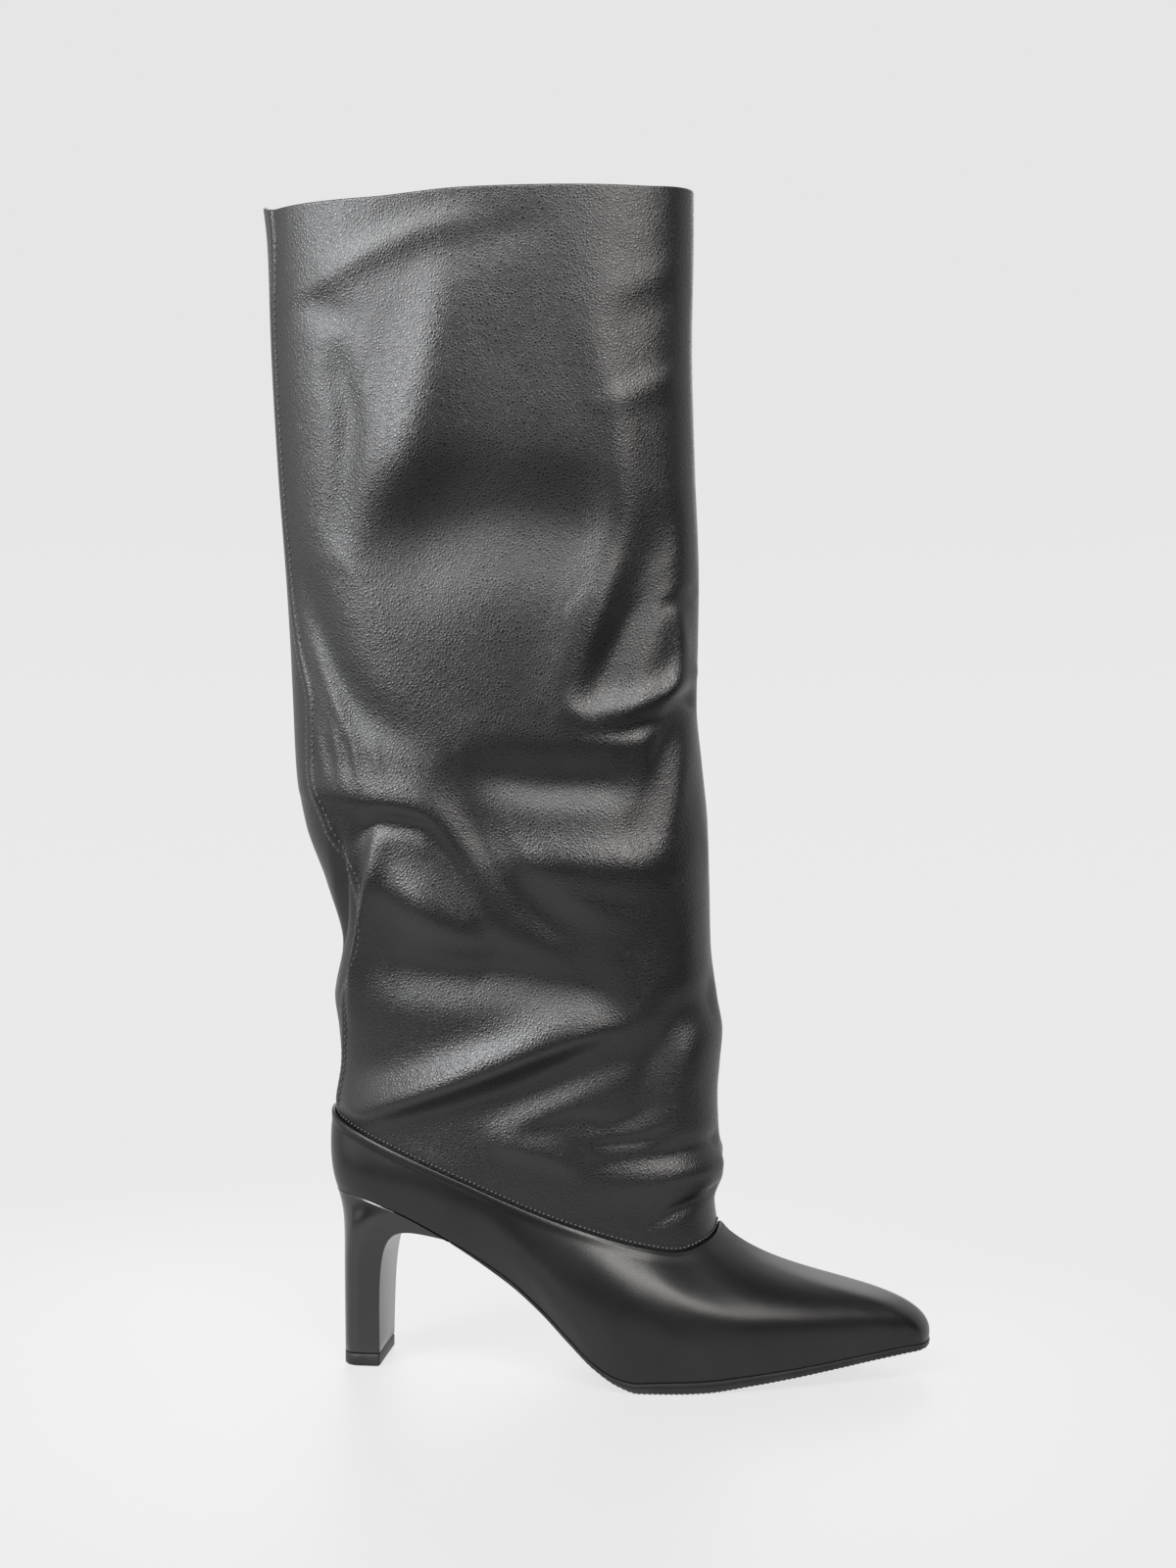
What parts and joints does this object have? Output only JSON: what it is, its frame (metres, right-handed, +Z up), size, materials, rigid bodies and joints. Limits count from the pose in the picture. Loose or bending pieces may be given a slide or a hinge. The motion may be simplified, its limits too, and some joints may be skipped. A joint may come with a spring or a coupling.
{
  "type": "slouch boot",
  "caption": "Tall pointed-toe slouch boot in black leather with a wide folded shaft, a low-cut foot part and a slim covered block heel, for the right foot.",
  "frame": {"origin": "on the floor under the heel, in the worn face of the heel tip, midway along its straight side", "axes": "+X towards the toe, +Y towards the inner side of the foot, +Z up along the shaft"},
  "size_m": [0.2776, 0.0851, 0.4835],
  "materials": {
    "smooth_leather": "smooth black leather, semi-gloss",
    "grained_leather": "soft black leather with fine pebble grain, low sheen",
    "sole_rubber": "black satin rubber",
    "lining_leather": "matt dark lining leather"
  },
  "bodies": {
    "root": {"upper": "smooth_leather", "shaft": "grained_leather", "outsole": "sole_rubber", "insole": "lining_leather", "heel": "smooth_leather", "heel_tip": "sole_rubber"}
  },
  "joints": []
}
